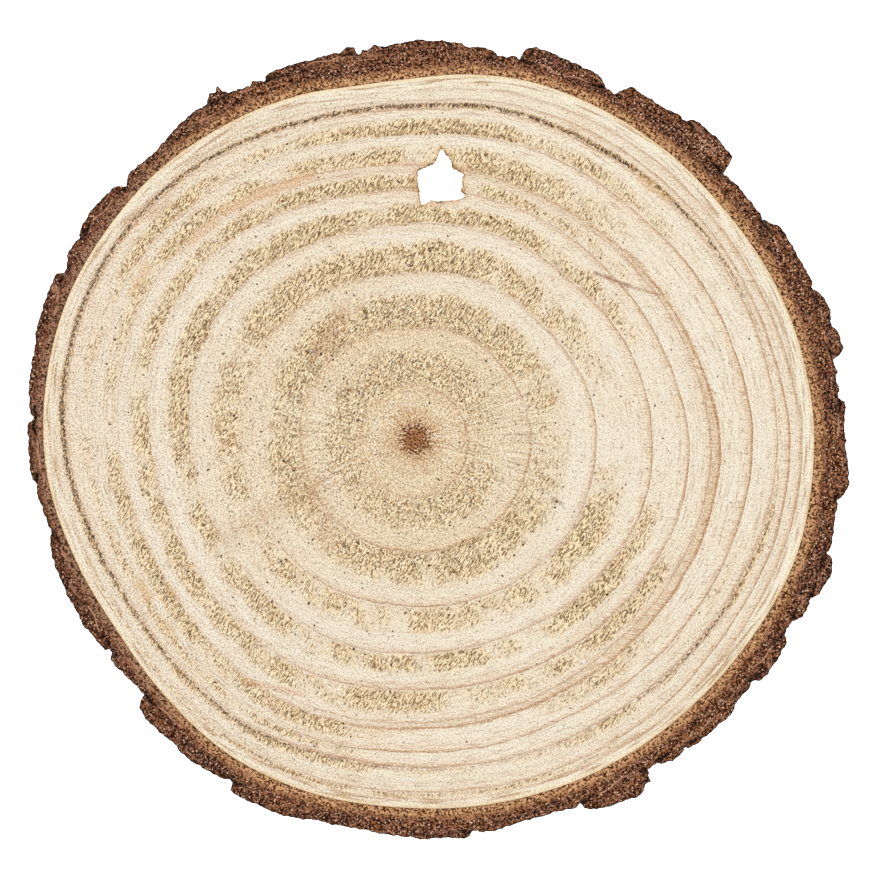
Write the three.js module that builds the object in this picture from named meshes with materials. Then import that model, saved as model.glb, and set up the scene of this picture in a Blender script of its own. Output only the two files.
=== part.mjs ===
// A wood slice: a round sawn across a small conifer trunk, with its bark on and a ragged hanging hole.
// It lies on its sawn underside. The pith, where the tree began, is a little left of the middle.
import * as THREE from 'three';

// Driving dimensions, in millimetres. Angles are in degrees round the pith, anticlockwise from +X.
const sliceThickness = 10;
const barkGap = 0.3;               // clearance between the wood and the bark round it
const barkStep = 1.6;              // longest straight stretch along the bark's outline
const cambiumSteps = 180;          // straight stretches round the wood
const barkLevels = 9;              // heights at which the bark's outline is drawn, both faces counted
const edgeLean = 0.6;              // degrees that the edges of the bark scales lean over the thickness
const leanWaves = 5;               // how many times that lean changes side round the slice
const hollowDepth = 0.42;          // largest share of its thickness that the bark loses below the upper face
const hollowWidth = 4;             // degrees between one hill of the bark's side and the next
const hollowHeight = 0.45;         // the same up the side, as a share of the slice's thickness
const barkRoughness = 0.12;        // random unevenness of the bark between the sawn faces
const barkSeed = 11;

// Where wood meets bark, as [angle, radius]. The line between these points is a smooth closed curve.
const cambium = [
  [0, 55.1], [12, 54.7], [22, 54.2], [30, 53.6], [37, 53.1], [48, 52.8], [60, 52.3], [72, 51.8],
  [82, 50.8], [92, 49.6], [100, 49.4], [108, 50.0], [120, 50.6], [136, 51.3], [156, 51.7], [172, 51.5],
  [186, 51.0], [200, 49.7], [213, 48.9], [226, 49.5], [240, 50.6], [254, 50.9], [268, 50.9], [282, 51.5],
  [298, 52.3], [314, 53.0], [330, 54.0], [344, 55.1],
];

// The bark's outer edge on the upper face. Each row is one scale of the bark, as [angle, radius] corners.
// A furrow lies between one row and the next, and a step back in angle is a scale that overhangs it.
const barkScales = [
  [[5.5, 59.2], [8.5, 59.0], [9.1, 59.4], [9.5, 59.2], [10.8, 59.2]],
  [[11.3, 60.1], [12, 60.8], [14.5, 60.4], [15.8, 60.0]],
  [[17.8, 60.2], [19.5, 59.8], [20.5, 59.3], [23, 59.0]],
  [[26, 58.8], [29.6, 58.7], [30.6, 58.3], [31, 57.7], [31.5, 57.4]],
  [[32.4, 57.2], [35, 57.0], [38.2, 56.8], [39.5, 56.6], [41.1, 56.6]],
  [[41.2, 57.5], [41, 57.8], [41.6, 58.8], [42.4, 59.0], [46, 59.0], [48.8, 58.9]],
  [[49.6, 58.3], [50.4, 58.0], [51.6, 57.8]],
  [[52.6, 57.5], [56, 57.3], [58.6, 57.2], [58.8, 56.9], [59.3, 56.3], [60, 55.4]],
  [[61, 55.5], [62, 55.8]],
  [[63.2, 56.4], [64, 56.6], [68.5, 56.6], [70, 56.8], [72.8, 56.8], [73.7, 56.5], [74.3, 56.0],
    [74.5, 55.4]],
  [[74.1, 54.7], [75.5, 54.8], [76.5, 54.5], [77.8, 54.5]],
  [[79, 54.9], [80.5, 55.1], [81.6, 55.0], [82.8, 54.8]],
  [[83.1, 55.2], [86.5, 55.3], [90, 55.3]],
  [[91.5, 55.0], [93.4, 54.8], [94.6, 54.6]],
  [[96, 54.8], [96.8, 54.4], [98.5, 54.2]],
  [[98.8, 54.9], [100, 55.2], [100.8, 54.7], [102.5, 54.6]],
  [[105, 54.5], [108.5, 54.7], [111, 54.6], [112.2, 54.4]],
  [[112.8, 54.1], [113.8, 54.2], [114.4, 54.6], [115, 54.1]],
  [[116.4, 54.2], [118, 54.8], [119.4, 55.1]],
  [[119.1, 56.0], [119.5, 56.0], [119.9, 55.4]],
  [[120.8, 55.8], [121.6, 55.2], [122, 55.0], [124, 54.7], [126, 54.6]],
  [[128.5, 54.3], [130.2, 53.9], [131.8, 53.7]],
  [[134, 53.8], [136.8, 54.1], [138, 53.8], [138.8, 53.3]],
  [[139.6, 54.1], [140.2, 54.4], [142.5, 54.7], [145, 55.0]],
  [[147, 54.8], [148.8, 54.5], [151, 54.5], [152.2, 54.6], [152.8, 54.1]],
  [[154.6, 54.0], [155.2, 54.7], [156.2, 54.8], [159, 54.8]],
  [[163, 54.7], [166, 54.3], [170, 54.1], [173, 54.0], [175, 53.7], [176.4, 53.3], [177, 53.1]],
  [[177.7, 53.7], [180, 53.7], [183, 53.6], [185.8, 53.4]],
  [[187, 52.9], [188.5, 53.0], [190, 52.7], [192, 52.3], [194, 52.2]],
  [[196, 52.6], [198, 52.9], [202, 52.9], [209.6, 52.7]],
  [[211.5, 52.4], [213, 52.2], [214.2, 52.0], [214.6, 51.5], [215.3, 51.6]],
  [[215.8, 52.1], [217, 52.2], [218.5, 52.0], [220, 51.7], [223.3, 51.7]],
  [[223.6, 52.7], [224.3, 53.4], [225.8, 53.8], [228, 54.0], [231.5, 53.8]],
  [[233, 54.2], [235, 54.5], [236.8, 54.2], [239, 54.3], [241, 54.0], [242.5, 54.2]],
  [[242.1, 55.0], [242.8, 55.2], [247, 55.3], [251, 55.3]],
  [[254, 54.9], [256, 54.6], [260, 54.6]],
  [[263, 54.7], [266, 55.0], [269, 55.3], [272, 55.5]],
  [[274, 55.4], [276, 55.7], [277.6, 55.7], [278.3, 55.1]],
  [[279.2, 55.3], [280.5, 55.4], [283, 55.3]],
  [[284.8, 55.1], [287, 55.1], [290.5, 55.3], [292.5, 55.6], [294.5, 55.7]],
  [[294.6, 56.3], [295.2, 56.8], [296, 57.2], [298, 57.6]],
  [[300, 58.0], [301, 58.3], [302.2, 58.4], [303, 58.2], [303.6, 57.6], [304.6, 57.5], [304.5, 56.4]],
  [[305, 56.1], [306.2, 56.0]],
  [[307.2, 56.6], [308.5, 57.1], [311, 57.1]],
  [[312.3, 57.4], [313.2, 57.7], [316, 57.7], [318.8, 58.1], [319.6, 58.0]],
  [[320.5, 57.7], [322.4, 57.6], [323, 57.8], [324.5, 57.8]],
  [[325, 58.4], [326, 58.7], [328.5, 58.9], [330.2, 58.7], [331.2, 58.8]],
  [[332.2, 58.2], [333.2, 58.0]],
  [[334.5, 58.4], [335.4, 59.2], [336.5, 59.3], [338, 59.2]],
  [[339, 60.0], [340.8, 60.4], [341.7, 60.8], [342.8, 60.5], [344, 60.2]],
  [[344.5, 59.5], [347.5, 59.5], [349.2, 59.2], [351.5, 59.2]],
  [[352.6, 60.0], [354, 60.5], [356, 60.2], [358, 59.9]],
  [[360, 59.6], [361.5, 59.5], [365, 59.9]],
];

// The hanging hole goes straight through. Its five ragged points, from the top one clockwise, as [x, y].
const hangingHole = [
  [3.6, 40.4], [5.0, 38.6], [5.1, 37.7],
  [6.8, 36.7], [6.5, 35.9], [6.6, 34.9], [6.3, 34.4],
  [7.1, 33.7], [6.3, 33.2], [4.8, 33.0], [2.6, 32.9], [2.2, 33.0],
  [0.9, 32.3], [0.7, 33.0], [0.5, 34.6], [0.3, 36.1],
  [0.3, 36.9], [0.5, 37.3], [2.6, 38.2], [3.1, 39.1],
];

// A repeatable random number from 0 to 1 for each seed.
function randomFrom(seed) {
  const wave = Math.sin(seed * 12.9898 + 78.233) * 43758.5453;
  return wave - Math.floor(wave);
}

function fromPolar(angle, radius) {
  const turn = THREE.MathUtils.degToRad(angle);
  return new THREE.Vector2(radius * Math.cos(turn), radius * Math.sin(turn));
}

// The smooth closed line between wood and bark, moved outwards by grow.
function cambiumLoop(grow) {
  const corners = cambium.map(([angle, radius]) => {
    const point = fromPolar(angle, radius + grow);
    return new THREE.Vector3(point.x, point.y, 0);
  });
  const curve = new THREE.CatmullRomCurve3(corners, true, 'centripetal');
  return curve.getSpacedPoints(cambiumSteps).slice(0, -1).map((p) => new THREE.Vector2(p.x, p.y));
}

// The bark's corners in one list, with points put in on long stretches so that the bark can be uneven
// there too.
function barkCorners() {
  const corners = barkScales.flat();
  const filled = [];
  corners.forEach(([angle, radius], i) => {
    const last = i === corners.length - 1;
    const [nextAngle, nextRadius] = last ? [corners[0][0] + 360, corners[0][1]] : corners[i + 1];
    const length = fromPolar(angle, radius).distanceTo(fromPolar(nextAngle, nextRadius));
    const parts = Math.ceil(length / barkStep);
    for (let k = 0; k < parts; k += 1) {
      filled.push([
        THREE.MathUtils.lerp(angle, nextAngle, k / parts),
        THREE.MathUtils.lerp(radius, nextRadius, k / parts),
      ]);
    }
  });
  return filled;
}

// Smooth random hills from 0 to 1 over the angle round the slice and the depth under its upper face.
function hills(angle, depth) {
  const column = angle / hollowWidth;
  const row = depth / hollowHeight;
  const at = (sideways, down) => {
    const hill = THREE.MathUtils.euclideanModulo(Math.floor(column) + sideways, 360 / hollowWidth);
    return randomFrom(barkSeed + hill + 360 * (Math.floor(row) + down));
  };
  const across = THREE.MathUtils.smoothstep(column - Math.floor(column), 0, 1);
  const along = THREE.MathUtils.smoothstep(row - Math.floor(row), 0, 1);
  const higher = THREE.MathUtils.lerp(at(0, 0), at(1, 0), across);
  const lower = THREE.MathUtils.lerp(at(0, 1), at(1, 1), across);
  return THREE.MathUtils.lerp(higher, lower, along);
}

// The bark's outline at one depth under the upper face, from 0 there to 1 on the underside. Its scales lean
// a little with depth and have hollows where flakes came off, and both sawn faces have clean edges.
function barkLoop(corners, depth) {
  const sawn = depth === 0 || depth === 1;
  return corners.map(([angle, radius], i) => {
    const lean = edgeLean * depth * Math.sin(THREE.MathUtils.degToRad(angle * leanWaves));
    const kept = 1 - hollowDepth * (1 - (1 - depth) ** 4) * hills(angle, depth) ** 2;
    const rough = sawn ? 0 : barkRoughness * (randomFrom(barkSeed + i + depth) - 1);
    const root = cambiumRadius(angle);
    return fromPolar(angle + lean, root + (radius - root) * kept + rough);
  });
}

// The radius of the line between wood and bark at an angle.
function cambiumRadius(angle) {
  const turned = THREE.MathUtils.euclideanModulo(angle, 360);
  const after = cambium.findIndex(([a]) => a > turned);
  const [a0, r0] = after === -1 ? cambium[cambium.length - 1] : cambium[after - 1];
  const [a1, r1] = after === -1 ? [360, cambium[0][1]] : cambium[after];
  return THREE.MathUtils.mapLinear(turned, a0, a1, r0, r1);
}

// One closed solid between an outer wall and an inner one. Each wall is a list of [height, loop] from the
// underside up, all its loops run anticlockwise, and both faces are flat.
function solidBetween(outerWall, innerWall) {
  const positions = [];
  const index = [];
  const starts = new Map();
  const place = (wall) => wall.forEach(([height, loop]) => {
    starts.set(loop, positions.length / 3);
    loop.forEach((p) => positions.push(p.x, p.y, height));
  });
  const skin = (wall, facesOut) => wall.slice(1).forEach(([, upper], k) => {
    const low = starts.get(wall[k][1]);
    const high = starts.get(upper);
    upper.forEach((_, i) => {
      const j = (i + 1) % upper.length;
      const quad = [low + i, low + j, high + j, high + i];
      if (!facesOut) quad.reverse();
      index.push(quad[0], quad[1], quad[2], quad[0], quad[2], quad[3]);
    });
  });
  const lid = (outer, inner, facesUp) => {
    const corner = (k) => (k < outer.length ? starts.get(outer) + k : starts.get(inner) + k - outer.length);
    THREE.ShapeUtils.triangulateShape(outer, [inner]).forEach((face) => {
      const [a, b, c] = face.map(corner);
      index.push(...(facesUp ? [a, b, c] : [c, b, a]));
    });
  };
  place(outerWall);
  place(innerWall);
  skin(outerWall, true);
  skin(innerWall, false);
  lid(outerWall[0][1], innerWall[0][1], false);
  lid(outerWall.at(-1)[1], innerWall.at(-1)[1], true);
  const geometry = new THREE.BufferGeometry();
  geometry.setAttribute('position', new THREE.Float32BufferAttribute(positions, 3));
  geometry.setIndex(index);
  geometry.computeVertexNormals();
  return geometry;
}

// A wall that is the same at every height.
function straightWall(loop) {
  return [[0, loop], [sliceThickness, loop.map((p) => p.clone())]];
}

function makeWood() {
  const rim = cambiumLoop(0);
  const hole = hangingHole.map(([x, y]) => new THREE.Vector2(x, y)).reverse();
  const material = new THREE.MeshStandardMaterial({ color: 0xe3d0ad, roughness: 0.85, metalness: 0 });
  const mesh = new THREE.Mesh(solidBetween(straightWall(rim), straightWall(hole)), material);
  mesh.name = 'wood';
  return mesh;
}

function makeBark() {
  const corners = barkCorners();
  const outerWall = [];
  for (let level = 0; level < barkLevels; level += 1) {
    const rise = level / (barkLevels - 1);
    outerWall.push([sliceThickness * rise, barkLoop(corners, 1 - rise)]);
  }
  const material = new THREE.MeshStandardMaterial({ color: 0x5a3a28, roughness: 0.95, metalness: 0 });
  const mesh = new THREE.Mesh(solidBetween(outerWall, straightWall(cambiumLoop(barkGap))), material);
  mesh.name = 'bark';
  return mesh;
}

const slice = new THREE.Group();
slice.name = 'wood_slice';
slice.add(makeWood(), makeBark());

// The origin is on the underside, in the middle of the slice's width and depth.
const middle = new THREE.Box3().setFromObject(slice).getCenter(new THREE.Vector3());
slice.children.forEach((mesh) => mesh.position.set(-middle.x, -middle.y, 0));

export default slice;
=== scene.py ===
# A round slice sawn across a small conifer trunk, with its bark on and a ragged hanging hole.
# It lies flat on a pale floor and the camera looks straight down on it.
import math
import bpy
import numpy as np
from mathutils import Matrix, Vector
from mathutils.bvhtree import BVHTree
from mathutils.geometry import delaunay_2d_cdt


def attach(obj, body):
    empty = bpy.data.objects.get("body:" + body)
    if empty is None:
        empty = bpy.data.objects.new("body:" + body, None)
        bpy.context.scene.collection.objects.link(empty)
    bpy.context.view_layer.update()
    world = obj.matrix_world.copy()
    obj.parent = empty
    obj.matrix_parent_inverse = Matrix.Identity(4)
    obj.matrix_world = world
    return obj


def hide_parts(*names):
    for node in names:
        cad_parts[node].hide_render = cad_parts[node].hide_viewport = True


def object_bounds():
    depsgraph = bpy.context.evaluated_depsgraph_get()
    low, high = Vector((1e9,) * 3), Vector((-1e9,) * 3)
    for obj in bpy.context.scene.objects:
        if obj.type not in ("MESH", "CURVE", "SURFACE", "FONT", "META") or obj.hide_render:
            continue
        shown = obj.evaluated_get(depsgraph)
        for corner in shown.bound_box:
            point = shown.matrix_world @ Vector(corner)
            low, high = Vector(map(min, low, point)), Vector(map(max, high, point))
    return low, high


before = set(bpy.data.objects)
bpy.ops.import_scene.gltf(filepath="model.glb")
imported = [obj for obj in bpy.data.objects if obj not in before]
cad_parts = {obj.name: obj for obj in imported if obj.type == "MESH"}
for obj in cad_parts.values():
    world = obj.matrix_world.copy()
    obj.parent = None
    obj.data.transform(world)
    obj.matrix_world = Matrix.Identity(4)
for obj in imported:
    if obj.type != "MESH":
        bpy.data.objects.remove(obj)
cadLow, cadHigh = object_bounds()
mm = 0.001
pith = Vector((-3.23, 0.08, 0.0)) * mm
sliceTop = cadHigh.z
patternTurn = 33             # degrees that fine noises are turned, so that no grid shows
print("frame loaded")


# small helpers
def shade(hexCode):
    # a display colour such as "e8d9bb" as the linear colour that shaders take
    parts = [int(hexCode[i:i + 2], 16) / 255 for i in (0, 2, 4)]
    return [p / 12.92 if p <= 0.04045 else ((p + 0.055) / 1.055) ** 2.4 for p in parts] + [1.0]


def smooth(low, high, values):
    share = np.clip((values - low) / (high - low), 0, 1)
    return share * share * (3 - 2 * share)


def waves(angles, radii, size, seed):
    # gentle repeatable waviness over the angle (degrees) and radius (mm), from -size to size
    turn = np.radians(angles)
    total = np.zeros_like(turn)
    for k, (around, along) in enumerate(((7, 0.31), (13, -0.47), (23, 0.83), (41, -1.3))):
        total += np.sin(around * turn + along * radii + seed * (k + 1) * 1.7)
    return total * size / 4


def angleOf(points):
    # degrees anticlockwise from +X
    return np.degrees(np.arctan2(points[:, 1], points[:, 0])) % 360


def radiusAt(points, angles, radii):
    # how far out a closed outline is in the direction of each point
    return np.interp(angleOf(points), angles, radii, period=360)


def circle(angles, radii):
    turn = np.radians(angles)
    return np.column_stack([np.cos(turn) * radii, np.sin(turn) * radii])


class Graph:
    # shorthand for the nodes of one tree: a value is a number, a vector, a colour such as "e8d9bb", or
    # another node's socket
    def __init__(self, tree):
        self.tree = tree

    def node(self, kind, values=None, **settings):
        made = self.tree.nodes.new(kind)
        for name, value in settings.items():
            setattr(made, name, value)
        for key, value in (values or {}).items():
            self.feed(made.inputs[key], value)
        return made

    def feed(self, socket, value):
        if isinstance(value, bpy.types.NodeSocket):
            self.tree.links.new(value, socket)
        else:
            socket.default_value = shade(value) if socket.type == "RGBA" else value

    def math(self, operation, a, b=0.0, c=0.0, clamp=False):
        made = self.node("ShaderNodeMath", {0: a, 1: b, 2: c}, operation=operation, use_clamp=clamp)
        return made.outputs[0]

    def times(self, a, b):
        return self.math("MULTIPLY", a, b)

    def plus(self, a, b):
        return self.math("ADD", a, b)

    def minus(self, a, b):
        return self.math("SUBTRACT", a, b)

    def vector(self, operation, a, b=(0, 0, 0)):
        made = self.node("ShaderNodeVectorMath", {0: a, 1: b}, operation=operation)
        return made.outputs["Value" if operation in ("LENGTH", "DISTANCE", "DOT_PRODUCT") else "Vector"]

    def join(self, x=0.0, y=0.0, z=0.0):
        return self.node("ShaderNodeCombineXYZ", {0: x, 1: y, 2: z}).outputs[0]

    def split(self, vector):
        return self.node("ShaderNodeSeparateXYZ", {0: vector}).outputs

    def stretched(self, vector, amount):
        return self.node("ShaderNodeVectorMath", {0: vector, "Scale": amount}, operation="SCALE").outputs[0]

    def scaled(self, vector, sizes):
        # the vector divided by one size for each axis
        return self.vector("MULTIPLY", vector, [1 / s for s in sizes])

    def turned(self, vector, degrees):
        made = self.node("ShaderNodeVectorRotate", {"Vector": vector, "Angle": math.radians(degrees)},
                         rotation_type="Z_AXIS")
        return made.outputs[0]

    def swayed(self, vector, sizes, detail, amounts):
        # the vector pushed this way and that by noise of the given sizes
        noise = self.node("ShaderNodeTexNoise", {"Vector": self.scaled(vector, sizes), "Scale": 1.0,
                                                 "Detail": detail})
        return self.vector("ADD", vector, self.vector("MULTIPLY", noise.outputs["Color"], amounts))

    def cloud(self, vector, detail=2.0, rough=0.5, bend=0.0):
        values = {"Vector": vector, "Scale": 1.0, "Detail": detail, "Roughness": rough, "Distortion": bend}
        return self.node("ShaderNodeTexNoise", values).outputs[0]

    def cells(self, vector, feature="F1"):
        return self.node("ShaderNodeTexVoronoi", {"Vector": vector, "Scale": 1.0}, feature=feature)

    def step(self, value, low, high, start=0.0, end=1.0):
        values = {"Value": value, "From Min": low, "From Max": high, "To Min": start, "To Max": end}
        return self.node("ShaderNodeMapRange", values, interpolation_type="SMOOTHSTEP").outputs[0]

    def blend(self, factor, a, b):
        made = self.node("ShaderNodeMix", data_type="RGBA", blend_type="MIX")
        for index, value in ((0, factor), (6, a), (7, b)):
            self.feed(made.inputs[index], value)
        return made.outputs[2]

    def tint(self, colour, tone, mask, amount=None):
        # the colour drawn towards a tone as far as the mask says
        return self.blend(mask if amount is None else self.times(mask, amount), colour, tone)

    def streaks(self, colour, noise, mask, *sides):
        # tones where the noise is high or low; each side is where it starts and where it is full, its share
        # and its tone
        for start, full, share, tone in sides:
            factor = self.step(noise, start, full, 0.0, share)
            colour = self.blend(factor if mask is None else self.times(factor, mask), colour, tone)
        return colour

    def read(self, name):
        # a number that is stored on the mesh's points
        if self.tree.bl_idname == "GeometryNodeTree":
            return self.node("GeometryNodeInputNamedAttribute", {"Name": name}, data_type="FLOAT").outputs[0]
        return self.node("ShaderNodeAttribute", attribute_name=name).outputs["Fac"]

    def stored(self, geometry, name, value, domain):
        # the geometry with a number stored on it
        values = {"Geometry": geometry, "Name": name, "Value": value}
        made = self.node("GeometryNodeStoreNamedAttribute", values, data_type="FLOAT", domain=domain)
        return made.outputs[0]

    def position(self):
        return self.node("GeometryNodeInputPosition").outputs[0]

    def fromPith(self, position):
        # a position in mm from the pith
        return self.vector("MULTIPLY", self.vector("SUBTRACT", position, tuple(pith)), (1000, 1000, 1000))


def newGroup(name, kind, inputs, outputs):
    # an empty node group with named inputs and outputs, as its tree, graph, input sockets and output node;
    # an input is its kind and value, or a plain number
    tree = bpy.data.node_groups.new(name, kind)
    for direction, sockets in (("INPUT", inputs), ("OUTPUT", outputs)):
        for label, entry in sockets.items():
            socketType, value = entry if isinstance(entry, tuple) else ("Float", entry)
            socket = tree.interface.new_socket(label, in_out=direction, socket_type="NodeSocket" + socketType)
            if value is not None:
                socket.default_value = value
    graph = Graph(tree)
    return tree, graph, graph.node("NodeGroupInput").outputs, graph.node("NodeGroupOutput").inputs


def newGrowTree(name, inputs):
    # a Geometry Nodes tree that takes a geometry, values and a material, and gives a geometry
    inputs = {"Geometry": ("Geometry", None), **inputs, "Material": ("Material", None)}
    return newGroup(name, "GeometryNodeTree", inputs, {"Geometry": ("Geometry", None)})


def endTree(graph, out, geometry, material):
    # the same last steps for every Geometry Nodes tree
    real = graph.node("GeometryNodeRealizeInstances", {"Geometry": geometry}).outputs[0]
    real = graph.node("GeometryNodeSetMaterial", {"Geometry": real, "Material": material}).outputs[0]
    graph.feed(out["Geometry"], real)


def useGroup(graph, tree, values):
    made = graph.node("ShaderNodeGroup", node_tree=tree)
    for key, value in values.items():
        graph.feed(made.inputs[key], value)
    return made.outputs


def grow(start, tree, values, name):
    # runs a Geometry Nodes tree on an object and gives its result back as a plain mesh object
    modifier = start.modifiers.new("grow", "NODES")
    modifier.node_group = tree
    for item in tree.interface.items_tree:
        if item.in_out == "INPUT" and item.name in values:
            modifier[item.identifier] = values[item.name]
    evaluated = start.evaluated_get(bpy.context.evaluated_depsgraph_get())
    mesh = bpy.data.meshes.new_from_object(evaluated)
    start.modifiers.remove(modifier)
    mesh.name = name
    piece = bpy.data.objects.new(name, mesh)
    bpy.context.scene.collection.objects.link(piece)
    return piece


def meshObject(name, points, faces, marks):
    # a mesh object from points in mm from the pith, with a float attribute for each of marks
    mesh = bpy.data.meshes.new(name)
    mesh.from_pydata((np.asarray(points) * mm + np.array(pith)).tolist(), [], [list(f) for f in faces])
    for label, values in marks.items():
        mesh.attributes.new(label, "FLOAT", "POINT").data.foreach_set("value", np.asarray(values, np.float32))
    mesh.update()
    made = bpy.data.objects.new(name, mesh)
    bpy.context.scene.collection.objects.link(made)
    return made


def finished(piece, material, node=None):
    # the closing touches of every piece
    piece.data.materials.clear()
    piece.data.materials.append(material)
    piece.data.polygons.foreach_set("use_smooth", [True] * len(piece.data.polygons))
    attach(piece, "root")
    if node:
        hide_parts(node)
    print(piece.name, "has", sum(len(p.vertices) - 2 for p in piece.data.polygons), "triangles")


# outlines, read from the frame
def treeOf(name):
    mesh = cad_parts[name].data
    return BVHTree.FromPolygons([v.co.copy() for v in mesh.vertices], [p.vertices[:] for p in mesh.polygons])


def radiiOf(tree, angles, height, centre=pith, inwards=True):
    # how far the surface is from a centre, in mm, met from outside or from inside
    found = []
    reach = 80 * mm                        # further out than any of the surfaces
    for angle in np.radians(angles):
        way = Vector((math.cos(angle), math.sin(angle), 0))
        middle = Vector((centre.x, centre.y, height))
        start, heading = (middle + way * reach, -way) if inwards else (middle, way)
        found.append((tree.ray_cast(start, heading)[0] - middle).length / mm)
    return np.array(found)


# growth rings, read off the sawn face
ringSettings = dict(
    # for each ring line, every 15 degrees anticlockwise from +X: radii in mm, strength of the torn wood
    # outside it from 0 to 9, how much of the ring's width that takes, and strength of the line from 0 to 9
    lines=[
        ([7.5, 7.4, 7.3, 7.4, 7.4, 7.5, 7.7, 7.7, 7.7, 7.7, 7.8, 7.8,
          7.9, 8.0, 8.0, 8.1, 8.2, 8.3, 8.3, 8.2, 8.1, 8.0, 7.8, 7.6],
         "234566676665555455566653", 0.66, "999877754444443334556789"),
        ([16.2, 16.0, 15.9, 15.9, 15.9, 15.8, 15.4, 15.7, 16.1, 16.2, 16.2, 16.2,
          16.1, 16.0, 15.9, 15.9, 15.9, 15.8, 15.8, 15.9, 16.0, 16.1, 16.1, 16.2],
         "345688788876566556788763", 0.62, "988877766666666678887789"),
        ([25.2, 25.0, 24.2, 23.7, 23.6, 23.5, 23.0, 23.3, 24.0, 24.5, 24.7, 24.6,
          24.4, 24.0, 23.9, 23.9, 23.8, 23.4, 23.3, 23.6, 24.1, 24.6, 25.0, 25.2],
         "123669998765544444544674", 0.62, "554322333332222346654445"),
        ([32.9, 32.6, 31.8, 30.8, 30.7, 30.3, 29.9, 30.0, 30.7, 31.8, 32.1, 31.9,
          31.0, 30.4, 29.9, 29.9, 30.1, 30.1, 29.8, 29.9, 30.5, 31.4, 32.3, 33.1],
         "114767888887655555554773", 0.56, "876532332211111224543457"),
        ([38.0, 36.9, 36.1, 35.5, 35.2, 34.9, 34.6, 35.0, 36.3, 37.7, 38.1, 37.9,
          36.6, 35.8, 35.4, 35.3, 35.7, 35.3, 34.8, 35.2, 35.8, 36.6, 37.3, 38.2],
         "001345987764676665544661", 0.72, "876544443211111125666667"),
        ([41.1, 40.1, 39.2, 38.3, 37.5, 37.3, 37.4, 38.0, 39.6, 40.8, 41.5, 41.3,
          40.5, 39.4, 39.0, 39.2, 39.9, 39.9, 39.5, 39.4, 39.6, 39.8, 40.6, 41.1],
         "000000000000000000000000", 0.50, "666532233100000014555566"),
        ([42.3, 40.8, 39.7, 38.6, 37.9, 37.8, 38.0, 38.7, 40.4, 41.6, 42.2, 42.0,
          41.2, 40.1, 39.7, 39.9, 40.6, 40.7, 40.2, 40.3, 40.6, 41.2, 41.7, 42.2],
         "001257645743468775003400", 0.66, "887654444211111135666678"),
        ([46.8, 46.1, 45.2, 44.0, 43.6, 43.1, 42.1, 42.5, 43.8, 44.8, 45.5, 45.5,
          44.9, 43.7, 42.9, 43.2, 43.9, 43.8, 43.5, 43.9, 44.1, 45.1, 45.8, 46.5],
         "001359955743334554000131", 0.56, "988642122211111126766678"),
        ([50.3, 49.8, 49.1, 48.2, 47.4, 46.9, 45.9, 46.1, 47.3, 48.6, 49.3, 49.2,
          48.4, 46.7, 45.5, 45.5, 45.9, 45.5, 45.6, 46.1, 46.7, 47.6, 48.6, 49.8],
         "334688778887776664324345", 0.45, "555555566776543347755556"),
        ([52.0, 51.0, 50.4, 49.7, 49.1, 48.3, 47.0, 47.5, 48.7, 49.7, 50.4, 50.9,
          50.2, 48.9, 47.5, 48.1, 48.8, 49.0, 49.1, 49.6, 50.2, 50.6, 50.9, 51.9],
         "101111112111007777753211", 0.55, "776543222322222234566667"),
        ([53.6, 52.6, 51.8, 51.1, 50.6, 49.8, 48.3, 48.6, 49.7, 50.6, 51.1, 51.4,
          50.9, 49.8, 48.3, 48.9, 49.9, 50.1, 50.3, 50.8, 51.4, 52.0, 52.6, 53.4],
         "000002100000000000000000", 0.50, "666532111111111113456666"),
    ],
    wobble=0.10,             # mm that a ring line wanders
    lineBlend=0.65,          # mm outside a ring line where points still belong to that line
    lineReach=1.0,           # mm of darker late wood before a ring line
    scarLine=9,              # this line, counted from the pith, is dark and dotted: how much
    scars="235777877888986665434564",
    tanRing=6,               # the wood just outside this line is tan up to the next line: how much
    tan="776555445411000013567778",
)


def aroundSlice(values, angles):
    # a smooth closed curve through values that are evenly spaced round the slice
    values = np.asarray(values, float)
    count = len(values)
    place = (np.asarray(angles) % 360) / (360 / count)
    i = np.floor(place).astype(int)
    f = place - i
    a, b, c, d = (values[(i + k) % count] for k in (-1, 0, 1, 2))
    return b + 0.5 * f * (c - a + f * (2 * a - 5 * b + 4 * c - d + f * (3 * (b - c) + d - a)))


def levelsAround(digits, angles):
    # digits from 0 to 9 that are evenly spaced round the slice, as shares from 0 to 1
    return aroundSlice([int(c) for c in digits], angles) / 9


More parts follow.
